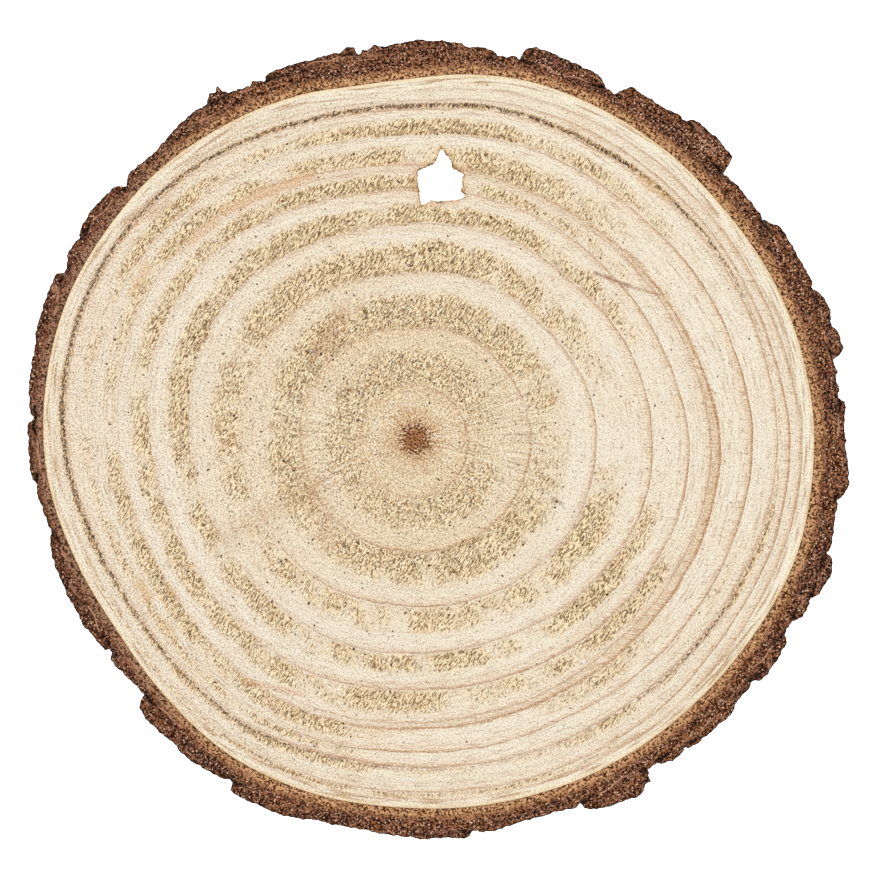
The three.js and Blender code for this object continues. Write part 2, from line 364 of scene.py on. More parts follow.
def ringMarks(points, rimAngles, rimRadii):
    # where each point (mm from the pith) lies among the growth rings
    radii, angles = np.hypot(points[:, 0], points[:, 1]), angleOf(points)
    lines = ringSettings["lines"]
    none = np.zeros_like(radii)
    edges = [aroundSlice(row[0], angles) + waves(angles, row[0][0], ringSettings["wobble"], k)
             for k, row in enumerate(lines)]
    edges = np.array([none, *edges, np.interp(angles, rimAngles, rimRadii, period=360)])
    torn = np.array([none] + [levelsAround(row[1], angles) for row in lines])
    strength = np.array([none] + [levelsAround(row[3], angles) for row in lines] + [none])
    share = np.array([0.5] + [row[2] for row in lines])
    ring = np.clip((radii[None, :] >= edges).sum(0) - 1, 0, len(lines))
    pick = np.arange(len(radii))
    inner, outer = edges[ring, pick], edges[ring + 1, pick]
    across = np.clip((radii - inner) / (outer - inner), 0, 1)
    width = share[ring]
    ringWidth = outer - inner
    insideWidth = inner - edges[np.maximum(ring - 1, 0), pick]
    beyond = (across > 0.5) | (radii - inner > ringSettings["lineBlend"])
    patchy = np.clip(0.92 + waves(angles, radii * 0.7, 0.9 * smooth(8, 24, radii), 3), 0.45, 1.15)
    fading = 1 - smooth(width * 0.55, width * 1.3, across)
    tornHere = torn[ring, pick] * patchy * smooth(0.0, 0.05, across) * fading

    # the inner wood on the left, and all of it near the pith, is a little rough
    rough = 0.26 * smooth(80, 115, angles) * (1 - smooth(205, 250, angles)) * (1 - smooth(27, 33, radii))
    rough = np.maximum(rough, 0.20 * (1 - smooth(12, 24, radii)) * smooth(1.5, 3.5, radii))
    scars = levelsAround(ringSettings["scars"], angles)
    scar = np.where(ring == ringSettings["scarLine"], scars, 0.48 * torn[ring, pick])
    return dict(
        scar=np.clip(scar, 0, 1) * np.exp(-((radii - inner) / 0.62) ** 2),
        tan=np.clip(levelsAround(ringSettings["tan"], angles), 0, 1),
        torn=np.clip(np.maximum(tornHere, rough), 0, 1),
        growth=ring + across,
        lineWidth=np.where(beyond, ringWidth, insideWidth),
        lineStrength=np.clip(np.where(beyond, strength[ring + 1, pick], strength[ring, pick]), 0, 1),
        distance=radii,
    )


# the wood
woodSettings = dict(
    rimSteps=900,            # points round the rim
    rimOverlap=0.20,         # mm that the wood reaches into the clearance round it
    holeCentre=(3.4, 36.0),  # mm from the pith
    holeSteps=150,
    holeRagged=0.09,         # mm of unevenness of the hole's edge
    holeWiden=0.05,          # mm that the hole is wider under its upper edge
    edgeMargin=0.2,          # mm that the points of a face keep from its edges
    holeLevels=9,
    grainAngle=60,           # degrees, the way the saw tore the soft wood
    topSpacing=(0.62, 0.205),    # mm between points along and across that way on the upper face
    underSpacing=(0.95, 0.5),
    faceDrop=0.05,           # mm from the slice's full height to its sawn face
    tornDepth=0.24,          # mm, deepest tear
    lineRise=0.035,          # mm that hard late wood stands proud
    sawDepth=0.02,
)


def latticePoints(spacing, angle, rimAngles, rimRadii, holeAngles, holeRadii, middle, margin):
    # rows of points across the face, turned to the grain, clear of the rim and the hole
    reach = rimRadii.max() + 1
    along, across = np.meshgrid(np.arange(-reach, reach, spacing[0]), np.arange(-reach, reach, spacing[1]))
    along = along + (np.arange(len(along)) % 2)[:, None] * spacing[0] / 2
    along = along + 0.18 * spacing[0] * np.sin(across * 11.7 + along * 3.1)
    turn = math.radians(angle)
    points = np.column_stack([(along * math.cos(turn) - across * math.sin(turn)).ravel(),
                              (along * math.sin(turn) + across * math.cos(turn)).ravel()])
    local = points - middle
    inRim = np.hypot(*points.T) < radiusAt(points, rimAngles, rimRadii) - margin
    return points[inRim & (np.hypot(*local.T) > radiusAt(local, holeAngles, holeRadii) + margin * 0.7)]


def meshFace(inside, rim, hole, middle):
    # triangles over a face with a hole: points are the rim's, the hole's and then those inside
    points = np.vstack([rim, hole, inside])
    n, m = len(rim), len(hole)
    edges = [(i, (i + 1) % n) for i in range(n)] + [(n + i, n + (i + 1) % m) for i in range(m)]
    result = delaunay_2d_cdt([Vector(p) for p in points.tolist()], edges, [], 0, 1e-7)
    made = np.array([v[:] for v in result[0]])
    faces = np.array([f for f in result[2] if len(f) == 3])
    centres = made[faces].mean(1)
    local, ring = centres - middle, hole - middle
    edge = radiusAt(centres, angleOf(rim), np.hypot(*rim.T))
    gap = radiusAt(local, angleOf(ring), np.hypot(*ring.T))
    onHole = ((faces >= n) & (faces < n + m)).all(1)
    onRim = (faces < n).all(1)
    keep = ~(onHole & (np.hypot(*local.T) < gap)) & ~(onRim & (np.hypot(*centres.T) > edge))
    return made, faces[keep]


def makeWoodBlank():
    s = woodSettings
    tree = treeOf("wood")
    rimAngles = np.arange(s["rimSteps"]) * 360 / s["rimSteps"]
    rimRadii = radiiOf(tree, rimAngles, sliceTop / 2) + s["rimOverlap"]
    middle = np.array(s["holeCentre"])
    holeMiddle = pith + Vector((*middle, 0)) * mm
    holeAngles = np.arange(s["holeSteps"]) * 360 / s["holeSteps"]
    trueHole = radiiOf(tree, holeAngles, sliceTop / 2, holeMiddle, inwards=False)

    def holeAt(level):
        # the hole's edge at one height, more ragged at the faces
        ragged = s["holeRagged"] * (1 if level in (0, s["holeLevels"] - 1) else 0.6)
        rough = sum(np.sin(np.radians(holeAngles) * k + level * (0.9 + 0.21 * k) + k * k)
                    for k in (9, 17, 28, 45))
        widen = 0 if level == s["holeLevels"] - 1 else s["holeWiden"]
        return middle + circle(holeAngles, trueHole + ragged * rough / 2 + widen)

    rim = circle(rimAngles, rimRadii)
    drop = s["faceDrop"]
    points, faces, side, loops = [], [], [], []
    full = sliceTop / mm
    for top in (True, False):
        spacing = s["topSpacing"] if top else s["underSpacing"]
        hole = holeAt(s["holeLevels"] - 1 if top else 0)
        inside = latticePoints(spacing, s["grainAngle"], rimAngles, rimRadii, holeAngles, trueHole, middle,
                               s["edgeMargin"])
        flat, tris = meshFace(inside, rim, hole, middle)
        start = len(points)
        height = full - drop if top else drop
        points += [(x, y, height) for x, y in flat]
        faces += [[start + i for i in (t if top else t[::-1])] for t in tris.tolist()]
        side += [1.0 if top else -1.0] * len(flat)
        loops.append((start, start + len(rim)))
    n, m = len(rim), len(holeAngles)
    (topRim, topHole), (lowRim, lowHole) = loops
    for i in range(n):
        j = (i + 1) % n
        faces.append([lowRim + i, lowRim + j, topRim + j, topRim + i])
    rows = [lowHole]
    for level in range(1, s["holeLevels"] - 1):
        rows.append(len(points))
        height = drop + (full - 2 * drop) * level / (s["holeLevels"] - 1)
        points += [(x, y, height) for x, y in holeAt(level)]
        side += [0.0] * m
    rows.append(topHole)
    for low, high in zip(rows, rows[1:]):
        for i in range(m):
            j = (i + 1) % m
            faces.append([low + j, low + i, high + i, high + j])
    points = np.array(points)
    marks = ringMarks(points, rimAngles, rimRadii)
    local = points[:, :2] - middle
    marks["holeGap"] = np.maximum(np.hypot(*local.T) - radiusAt(local, holeAngles, trueHole), 0)
    marks["rimGap"] = radiusAt(points, rimAngles, rimRadii) - marks["distance"]
    marks["faceSide"] = side
    marks["tornTop"] = marks["torn"] * (np.array(side) > 0) * smooth(0.2, 0.5, marks["holeGap"])
    marks["tornTop"] *= smooth(2.8, 4.5, marks["distance"])
    blank = meshObject("woodBlank", points, faces, marks)
    return blank, rimAngles, rimRadii


def tearPattern(graph, place, angle):
    # streaks of torn fibre from 0, a pit, to 1, a standing tuft; place is in mm from the pith
    lined = graph.turned(graph.swayed(place, (3.4, 3.4, 6), 1.0, (1.3, 1.3, 0)), -angle)
    wide = graph.cloud(graph.scaled(lined, (0.78, 0.20, 2.5)), 1.0, 0.5, 0.1)
    fine = graph.cloud(graph.scaled(lined, (0.40, 0.15, 1.5)), 1.0, 0.5)
    distance = graph.vector("LENGTH", graph.vector("MULTIPLY", place, (1, 1, 0)))
    share = graph.step(distance, 9.0, 26.0, 0.30, 0.56)
    both = graph.node("ShaderNodeMix", {0: share, 2: fine, 3: wide}, data_type="FLOAT").outputs[0]
    return graph.step(both, 0.38, 0.62)


def beforeLine(graph):
    # mm left to the next ring line outwards
    left = graph.minus(1.0, graph.math("FRACT", graph.read("growth")))
    return graph.times(left, graph.read("lineWidth"))


def makeWoodTree():
    # relief of the sawn faces: torn soft wood, late wood standing proud, and faint saw marks
    tree, g, given, out = newGrowTree("wood relief", {
        "Torn Depth": 0.2, "Line Rise": 0.03, "Saw Depth": 0.01})
    place = g.fromPith(g.position())
    tear = tearPattern(g, place, woodSettings["grainAngle"])
    torn = g.read("torn")
    edges = g.times(g.step(g.read("rimGap"), 0.0, 0.4), g.step(g.read("holeGap"), 0.0, 0.25))
    dip = g.times(g.times(g.minus(1.0, tear), torn), given["Torn Depth"])
    line = g.times(g.step(beforeLine(g), 0.5, 0.0), g.read("lineStrength"))
    rise = g.times(line, given["Line Rise"])
    saw = g.cloud(g.scaled(place, (5.0, 0.55, 4.0)), 2.0)
    height = g.plus(g.minus(rise, dip), g.times(g.minus(saw, 0.5), given["Saw Depth"]))
    lift = g.times(g.times(g.times(height, edges), g.read("faceSide")), mm)
    moved = g.node("GeometryNodeSetPosition", {"Geometry": given["Geometry"], "Offset": g.join(z=lift)})
    moved = moved.outputs[0]
    endTree(g, out, moved, given["Material"])
    return tree


def makeScatterTree():
    # strews small crystals over a surface as thickly as a named mask lets them, in clumps
    none = ("Vector", None)
    tree, g, given, out = newGrowTree("scatter", {
        "Mask": ("String", "torn"), "Count per mm2": 1.0, "Clump Size": 1.0, "Smallest": none,
        "Largest": none, "Turn From": none, "Turn To": none, "Follow Surface": ("Bool", False),
        "Sides": ("Int", 4), "Bands": ("Int", 2), "Seed": ("Int", 1)})

    def between(low, high):
        # a random vector for each point
        values = {0: given[low], 1: given[high], "Seed": given["Seed"]}
        return g.node("FunctionNodeRandomValue", values, data_type="FLOAT_VECTOR").outputs[0]

    spread = g.vector("DIVIDE", g.fromPith(g.position()), given["Clump Size"])
    clumps = g.step(g.cloud(spread, 2.0, 0.6), 0.40, 0.62)
    density = g.times(g.times(g.times(g.read(given["Mask"]), clumps), given["Count per mm2"]), 1e6)
    points = g.node("GeometryNodeDistributePointsOnFaces", {
        "Mesh": given["Geometry"], "Density": density, "Seed": given["Seed"]}).outputs
    still = g.node("FunctionNodeEulerToRotation").outputs[0]
    base = g.node("GeometryNodeSwitch", {"Switch": given["Follow Surface"], "False": still,
                                         "True": points["Rotation"]}, input_type="ROTATION").outputs[0]
    turn = g.node("FunctionNodeEulerToRotation", {0: between("Turn From", "Turn To")}).outputs[0]
    rotation = g.node("FunctionNodeRotateRotation", {"Rotation": base, "Rotate By": turn},
                      rotation_space="LOCAL").outputs[0]
    crystal = g.node("GeometryNodeMeshUVSphere", {
        "Segments": given["Sides"], "Rings": given["Bands"], "Radius": 0.5 * mm}).outputs[0]
    strewn = g.node("GeometryNodeInstanceOnPoints", {
        "Points": points["Points"], "Instance": crystal, "Rotation": rotation,
        "Scale": between("Smallest", "Largest")}).outputs[0]
    seed = g.plus(given["Seed"], 7.0)
    tone = g.node("FunctionNodeRandomValue", {"Seed": seed}, data_type="FLOAT").outputs[1]
    endTree(g, out, g.stored(strewn, "tone", tone, "INSTANCE"), given["Material"])
    return tree


def makeSpeckTree():
    # puts a flat lump on each loose point, as wide and as long as the point says
    tree, g, given, out = newGrowTree("specks", {"Thickness": 0.05})
    size = g.join(g.read("length"), g.read("width"), given["Thickness"])
    rotation = g.node("FunctionNodeEulerToRotation", {0: g.join(z=g.read("spin"))}).outputs[0]
    lump = g.node("GeometryNodeMeshUVSphere", {"Segments": 7, "Rings": 4, "Radius": 0.5 * mm}).outputs[0]
    bumpy = g.cloud(g.vector("MULTIPLY", g.position(), (2600, 2600, 2600)))
    bumpy = g.stretched(g.position(), g.minus(bumpy, 0.5))
    lump = g.node("GeometryNodeSetPosition", {"Geometry": lump, "Offset": bumpy}).outputs[0]
    points = g.node("GeometryNodeMeshToPoints", {"Mesh": given["Geometry"]}).outputs[0]
    strewn = g.node("GeometryNodeInstanceOnPoints", {
        "Points": points, "Instance": lump, "Rotation": rotation, "Scale": size}).outputs[0]
    endTree(g, out, strewn, given["Material"])
    return tree


# shader groups that more than one finish uses
def makeFleckGroup():
    # fine uneven grain: a colour made lighter and darker by cloudy noise of a given size
    tree, g, given, out = newGroup("fine flecks", "ShaderNodeTree", {
        "Color": ("Color", None), "Place": ("Vector", None), "Strength": 0.1,
        "Dark": ("Color", (0.2, 0.12, 0.06, 1)), "Light": ("Color", (1, 0.9, 0.75, 1))},
        {"Color": ("Color", None), "Height": None})
    fleck = g.cloud(given["Place"], 2.0, 0.65)
    darker = g.times(g.step(fleck, 0.52, 0.30), given["Strength"])
    lighter = g.times(g.step(fleck, 0.48, 0.70), given["Strength"])
    colour = g.blend(darker, given["Color"], given["Dark"])
    g.feed(out["Color"], g.blend(lighter, colour, given["Light"]))
    g.feed(out["Height"], fleck)
    return tree


def makeDotGroup():
    # small round dots in a random share of the cells of a pattern
    tree, g, given, out = newGroup("dots", "ShaderNodeTree", {
        "Place": ("Vector", None), "Share": 0.3, "Radius": 0.2}, {"Mask": None, "Tone": None})
    pores = g.cells(given["Place"])
    parts = g.node("ShaderNodeSeparateColor", {0: pores.outputs["Color"]}).outputs
    radius = g.times(given["Radius"], g.step(parts[1], 0.0, 1.0, 0.6, 1.3))
    dot = g.step(pores.outputs["Distance"], radius, g.times(radius, 0.45))
    g.feed(out["Mask"], g.times(dot, g.math("LESS_THAN", parts[0], given["Share"])))
    g.feed(out["Tone"], parts[2])
    return tree


def makeSmudgeGroup():
    # a soft mark along the line from Start to End, in mm from the pith, broken up by a noise value
    tree, g, given, out = newGroup("smudge", "ShaderNodeTree", {
        "Place": ("Vector", None), "Start": ("Vector", None), "End": ("Vector", None),
        "Width": 1.0, "Noise": 0.5, "Cloud": 0.5}, {"Mask": None})
    whole = g.vector("SUBTRACT", given["End"], given["Start"])
    here = g.vector("SUBTRACT", given["Place"], given["Start"])
    flat = g.vector("MULTIPLY", here, (1, 1, 0))
    length = g.vector("DOT_PRODUCT", whole, whole)
    share = g.vector("DOT_PRODUCT", flat, whole)
    share = g.math("DIVIDE", share, g.math("MAXIMUM", length, 0.0001), clamp=True)
    gap = g.vector("DISTANCE", flat, g.stretched(whole, share))
    wander = g.times(g.minus(given["Cloud"], 0.5), g.times(given["Noise"], 4.0))
    ratio = g.plus(g.math("DIVIDE", gap, given["Width"]), wander)
    g.feed(out["Mask"], g.step(ratio, 1.0, 0.0))
    return tree


def newMaterial(name, gloss=0.25):
    material = bpy.data.materials.new(name)
    material.use_nodes = True
    graph = Graph(material.node_tree)
    bsdf = material.node_tree.nodes["Principled BSDF"]
    bsdf.inputs["Specular IOR Level"].default_value = gloss
    place = graph.fromPith(graph.node("ShaderNodeTexCoord").outputs["Object"])
    return material, graph, bsdf, place


def flecks(graph, group, colour, place, strength, dark, light):
    return useGroup(graph, group, {"Color": colour, "Place": place, "Strength": strength, "Dark": dark,
                                   "Light": light})


def dots(graph, group, place, share, radius, faintest, fullest):
    # a mask of small round dots, some fainter than others
    made = useGroup(graph, group, {"Place": place, "Share": share, "Radius": radius})
    return graph.times(made["Mask"], graph.step(made["Tone"], 0, 1, faintest, fullest))


def bumpInto(graph, bsdf, height, distance, strength=1.0):
    values = {"Height": height, "Distance": distance, "Strength": strength}
    graph.feed(bsdf.inputs["Normal"], graph.node("ShaderNodeBump", values).outputs[0])


# marks on the upper face, as (start, end, width, noise, strength, colour), in mm from the pith
faceMarks = [
    ((31.5, 36.0), (35.0, 33.0), 1.30, 0.45, 0.40, "d2a45c"),
    ((33.9, 19.9), (29.5, 21.2), 0.35, 0.20, 0.55, "9a6238"),
    ((29.5, 21.2), (24.9, 23.0), 0.45, 0.25, 0.80, "8d5530"),
    ((-26.6, -13.8), (-12.6, -6.0), 2.60, 0.45, 0.32, "b98d62"),
    ((-36.6, 31.0), (-34.4, 32.4), 1.60, 0.45, 0.45, "c08f5c"),
    ((-14.6, 36.5), (-26.5, 31.5), 1.30, 0.40, 0.50, "d6a066"),
    ((-27.5, 30.0), (-31.2, 27.2), 1.20, 0.45, 0.45, "d6a066"),
    ((-37.3, 23.9), (-39.3, 20.4), 1.30, 0.45, 0.50, "d9a866"),
    ((-23.5, -33.6), (-15.5, -35.4), 0.70, 0.40, 0.50, "c98f5c"),
    ((-38.3, -19.8), (-37.0, -22.0), 1.20, 0.45, 0.50, "cfa04e"),
    ((-34.6, -25.6), (-34.0, -26.4), 0.90, 0.40, 0.45, "cfa04e"),
    ((-20.2, -36.4), (-19.2, -37.8), 0.90, 0.40, 0.40, "b9724c"),
    ((-34.3, -20.6), (-33.1, -22.0), 1.00, 0.40, 0.40, "cf9a5c"),
    ((19.0, -8.3), (20.3, -9.0), 0.50, 0.35, 0.60, "8a6040"),
    ((-9.5, 18.0), (-14.0, 11.5), 2.00, 0.45, 0.42, "b47c46"),
    ((-15.0, -5.0), (-12.0, -14.5), 2.00, 0.50, 0.30, "b98258"),
    # dark spots at the hole's corners: painted shade of its chipped rim and wall
    ((5.1, 38.1), (6.1, 37.1), 0.40, 0.30, 0.90, "3c2412"),
    ((6.4, 34.6), (7.0, 33.8), 0.32, 0.30, 0.85, "4a2c14"),
    ((3.1, 32.7), (3.9, 32.7), 0.28, 0.25, 0.80, "4a2c14"),
    ((0.7, 32.2), (1.0, 32.5), 0.30, 0.25, 0.80, "4a2c14"),
    ((3.6, 40.5), (3.6, 40.2), 0.28, 0.25, 0.80, "3c2412"),
]


def makeWoodMaterial(fleckGroup, dotGroup, smudgeGroup):
    s = woodSettings
    material, g, bsdf, place = newMaterial("sawn wood")
    torn, before, growth = g.read("torn"), beforeLine(g), g.read("growth")
    strength, distance = g.read("lineStrength"), g.read("distance")
    holeGap, rimGap = g.read("holeGap"), g.read("rimGap")
    outwards = g.vector("NORMALIZE", g.vector("MULTIPLY", place, (1, 1, 0)))
    unevenness = g.cloud(g.scaled(place, (0.9, 0.9, 3)), 2.0, 0.65)

    # pale sapwood, tanner towards the pith and on the left
    colour = g.blend(g.step(distance, 2.0, 27.0), "d9c19a", "ebe1ce")
    sideways = g.split(place)["X"]
    colour = g.tint(colour, "e3d4c1", g.step(sideways, 12.0, -44.0), 0.4)
    patches = g.cloud(g.scaled(place, (9, 9, 9)), 2.0)
    colour = g.tint(colour, "e2c89c", g.step(patches, 0.48, 0.75, 0.0, 0.22))

    # years: late wood darkens towards each ring line, crossed by fine hairs from the saw
    early = g.times(g.step(before, ringSettings["lineReach"] * 2.4, 0.2), strength)
    late = g.times(g.step(before, ringSettings["lineReach"], 0.0), strength)
    tanRing = ringSettings["tanRing"]
    between = g.times(g.step(growth, tanRing - 0.02, tanRing + 0.06),
                      g.step(growth, tanRing + 1.0, tanRing + 0.95))
    tan = g.times(between, g.read("tan"))
    hairs = g.cloud(g.scaled(g.turned(place, 3), (2.2, 0.15, 2.0)), 2.0, 0.6)
    for mask, least, most, tone in ((early, 0.22, 0.50, "e5bc8e"), (late, 0.32, 0.80, "d09a5a"),
                                    (tan, 0.45, 0.90, "cc9c64")):
        colour = g.tint(colour, tone, g.times(mask, g.step(hairs, 0.36, 0.64, least, most)))
    crossed = g.plus(g.times(g.math("MAXIMUM", early, tan), 0.95), 0.06)
    colour = g.streaks(colour, hairs, crossed, (0.57, 0.66, 1.0, "8f6236"), (0.42, 0.33, 1.0, "faf0da"))
    thin = g.times(g.step(before, 0.48, 0.10), g.math("POWER", strength, 0.75))
    thin = g.times(thin, g.step(unevenness, 0.3, 0.55, 0.6, 1.0))
    colour = g.tint(colour, "95591f", thin, 0.82)

    # fainter growth lines that follow the rings
    rows = g.join(g.times(growth, 10.0))
    faint = g.cloud(g.vector("ADD", rows, g.scaled(place, (22, 22, 22))), 3.0, 0.75)
    colour = g.streaks(colour, faint, None, (0.5, 0.68, 0.26, "c7a578"), (0.48, 0.32, 0.35, "f4ebd8"))
    long = g.vector("ADD", g.vector("MULTIPLY", outwards, (15, 15, 0)), g.join(z=g.times(growth, 21.0)))
    threads = g.cloud(long, 2.0, 0.65)
    outer = g.step(distance, 12.0, 46.0, 0.25, 1.0)
    colour = g.streaks(colour, threads, outer, (0.54, 0.70, 0.70, "ae865a"), (0.46, 0.30, 0.50, "fbf4e2"))

    # torn soft wood: where it thins out, single strokes remain; dark in the pits, partly the torn fibre's own
    # tone and partly painted shade, pale on the tufts
    tear = tearPattern(g, place, s["grainAngle"])
    ground = g.step(g.cloud(g.scaled(place, (1.7, 1.7, 3)), 2.0), 0.35, 0.65)
    ground = g.blend(ground, "dcae66", "edd19a")
    golden = g.step(g.cloud(g.scaled(place, (4.5, 4.5, 5)), 2.0), 0.50, 0.68, 0.0, 0.40)
    ground = g.tint(ground, "dba85c", golden)
    colour = g.blend(g.step(torn, 0.0, 0.8, 0.0, 0.85), colour, ground)
    limit = g.step(torn, 0.0, 0.75, -0.12, 0.37)
    # dark strokes in the pits: partly darker torn fibre, partly painted shade
    low = g.step(tear, g.plus(limit, 0.10), g.minus(limit, 0.10))
    colour = g.tint(colour, "6f4a10", low, 0.86)
    pepper = dots(g, dotGroup, g.scaled(place, (0.40, 0.40, 1)), g.step(torn, 0.05, 0.8, 0.0, 0.42), 0.40,
                  0.3, 0.85)
    colour = g.tint(colour, "6c4818", pepper)
    # darker still in the deepest pits: partly darker torn fibre, partly painted shade
    pitToneAndShade = g.times(g.step(tear, g.minus(limit, 0.16), g.minus(limit, 0.42)), g.step(unevenness, 0.42, 0.60))
    colour = g.tint(colour, "452a10", pitToneAndShade, 0.85)
    # pale strokes on the standing tufts: partly paler torn fibre, partly painted highlight
    limit = g.step(torn, 0.0, 0.8, 1.05, 0.60)
    high = g.step(tear, g.minus(limit, 0.14), g.plus(limit, 0.14))
    colour = g.tint(colour, "ffebc4", high, 0.78)

    # rays: very fine streaks away from the pith
    def rayed(amount, drift, detail, rough):
        # noise that is drawn out away from the pith
        way = g.vector("MULTIPLY", outwards, (amount,) * 3)
        return g.cloud(g.vector("ADD", way, g.vector("MULTIPLY", place, drift)), detail, rough)

    rays = rayed(31, (0.16, 0.16, 0.2), 2.0, 0.65)
    level = g.math("ABSOLUTE", g.split(outwards)["X"])
    near = g.times(g.step(distance, 24.0, 10.0, 0.08, 1.0), g.step(level, 0.62, 0.97, 0.25, 1.0))
    colour = g.streaks(colour, rays, near, (0.56, 0.64, 0.55, "7e5826"), (0.46, 0.33, 0.65, "fbf1dd"))

    # dark scars along the inner edge of the torn wood
    scar = g.times(g.read("scar"), g.step(before, 0.05, 0.35))
    colour = g.tint(colour, "bd823a", g.step(scar, 0.05, 0.75), 0.80)
    colour = g.tint(colour, "301406", g.times(g.step(scar, 0.20, 0.62), g.step(tear, 0.80, 0.54)))

    # scattered dark pores
    pores = dots(g, dotGroup, g.scaled(place, (0.62, 0.62, 3)), 0.26, 0.24, 0.4, 1.0)
    colour = g.tint(colour, "5c3c18", pores)

    # stains and scratches on the upper face, and painted shade at the hole's corners
    upper = g.step(g.split(place)["Z"], 9.0, 9.5)
    for start, end, width, rough, amount, tone in faceMarks:
        mask = useGroup(g, smudgeGroup, {
            "Place": place, "Start": (*start, 0), "End": (*end, 0), "Width": width, "Noise": rough,
            "Cloud": unevenness})["Mask"]
        colour = g.tint(colour, tone, g.times(mask, upper), amount)

    # the pith: an orange halo with rays, and a brown star
    star, spikes = rayed(3.4, (0.3, 0.3, 0.1), 2.0, 0.6), rayed(8, (0.2, 0.2, 0.1), 1.0, 0.6)
    uneven = g.plus(g.times(g.minus(star, 0.5), 2.0), g.times(g.minus(spikes, 0.5), 2.2))
    reach = g.plus(distance, uneven)
    halo = g.times(g.step(reach, 6.0, 1.5), g.step(rays, 0.38, 0.60, 0.1, 1.4))
    colour = g.tint(colour, "b9803f", halo, 0.85)
    grains = g.cloud(g.scaled(g.turned(place, patternTurn), (0.24, 0.24, 1)), 1.0, 0.6)
    heart = g.step(g.plus(reach, g.times(g.minus(grains, 0.5), 4.0)), 2.6, 1.5)

    # the hole's edge is stained, and right at it a thin dark band is painted shade of the hole's wall; the
    # rim next to the bark is a little yellower
    scorch = g.step(g.plus(holeGap, g.times(unevenness, 1.5)), 1.90, 0.50)
    colour = g.tint(colour, "d29c56", scorch, 0.62)
    # a thin dark band at the hole's edge: painted shade of its wall and chipped rim
    lipShade = g.times(g.step(holeGap, 0.28, 0.08), g.step(unevenness, 0.42, 0.56))
    colour = g.tint(colour, "6b4420", lipShade, 0.85)
    contour = g.vector("ADD", g.vector("MULTIPLY", outwards, (9, 9, 0)), g.join(z=g.times(rimGap, 2.6)))
    contour = g.cloud(contour, 1.0, 0.5)
    nearRim = g.step(rimGap, 2.6, 1.0)
    colour = g.streaks(colour, contour, nearRim, (0.54, 0.64, 0.80, "b58e5e"), (0.48, 0.40, 0.50, "f8efd6"))
    colour = g.tint(colour, "f8dcac", g.step(rimGap, 0.50, 0.25, 0.0, 0.7))

    rougher = g.plus(g.step(distance, 28.0, 8.0, 0.50, 0.82), g.step(sideways, 0.0, -32.0, 0.0, 0.18))
    fine = g.scaled(g.turned(place, patternTurn), (0.23, 0.23, 1.0))
    flecked = flecks(g, fleckGroup, colour, fine, rougher, "86633a", "fff8e6")
    brown = g.blend(g.step(grains, 0.38, 0.62), "401b07", "b67c4e")
    g.feed(bsdf.inputs["Base Color"], g.blend(heart, flecked["Color"], brown))
    g.feed(bsdf.inputs["Roughness"], g.step(flecked["Height"], 0.3, 0.7, 0.78, 0.95))
    bumpInto(g, bsdf, g.times(tear, g.plus(g.times(torn, 0.9), 0.10)), 0.08 * mm, 0.8)
    return material


def makeFibreMaterial(fleckGroup):
    # slivers that the saw lifted, each one tone at random from brown to cream; the brown ones are painted
    # shade standing for the dark gaps between torn fibres
    material, g, bsdf, place = newMaterial("torn fibres")
    tone = g.read("tone")
    colour = g.blend(g.step(tone, 0.0, 0.35), "8c6132", "dfbb84")
    colour = g.tint(colour, "fbe6c2", g.step(tone, 0.3, 0.7))
    flecked = flecks(g, fleckGroup, colour, g.scaled(place, (0.2, 0.2, 0.4)), 0.25, "7a5a34", "fff6e2")
    g.feed(bsdf.inputs["Base Color"], flecked["Color"])
    bsdf.inputs["Roughness"].default_value = 0.85
    return material


def makeResinMaterial(fleckGroup):
    material, g, bsdf, place = newMaterial("dark resin")
    flecked = flecks(g, fleckGroup, "472c15", g.scaled(place, (0.15, 0.15, 0.3)), 0.5, "2c1708", "a77b4e")
    g.feed(bsdf.inputs["Base Color"], flecked["Color"])
    bsdf.inputs["Roughness"].default_value = 0.6
    return material


# dark resin specks and pin knots on the upper face
speckSettings = dict(
    # angle in degrees and radius in mm from the pith, then length and width in mm
    known=[(16.7, 48.3, 0.34, 0.26), (25.6, 48.1, 0.30, 0.24), (21.0, 27.6, 0.28, 0.22),
           (17.0, 30.0, 0.24, 0.20), (48.7, 36.7, 0.36, 0.26), (54.6, 36.2, 0.30, 0.24),
           (71.0, 42.0, 0.30, 0.24), (172.7, 25.3, 0.34, 0.28), (146.0, 14.3, 0.30, 0.24),
           (135.0, 16.3, 0.40, 0.26), (136.0, 15.8, 0.32, 0.24), (170.0, 18.5, 0.28, 0.24),
           (217.1, 23.7, 0.32, 0.26), (234.0, 23.8, 0.34, 0.28), (231.3, 27.1, 0.28, 0.22),
           (264.0, 31.5, 0.30, 0.22), (239.0, 7.4, 0.28, 0.24), (287.5, 23.8, 0.34, 0.26),
           (288.0, 22.7, 0.28, 0.22), (302.5, 22.5, 0.40, 0.28), (327.5, 23.4, 0.30, 0.24),
           (336.0, 21.4, 0.42, 0.28), (348.6, 44.6, 0.28, 0.22), (300.0, 6.5, 0.55, 0.20)],
    strewn=720,              # more of them, placed at random
    reach=53,                # mm from the pith that they can lie
    holeClear=5.5,           # mm from the hole's middle that stays free of them
    sizes=(0.14, 0.32),
    knownScale=1.15,
    thickness=0.10,
    sunk=0.02,               # mm that their middles lie under the sawn face
    seed=23,
)


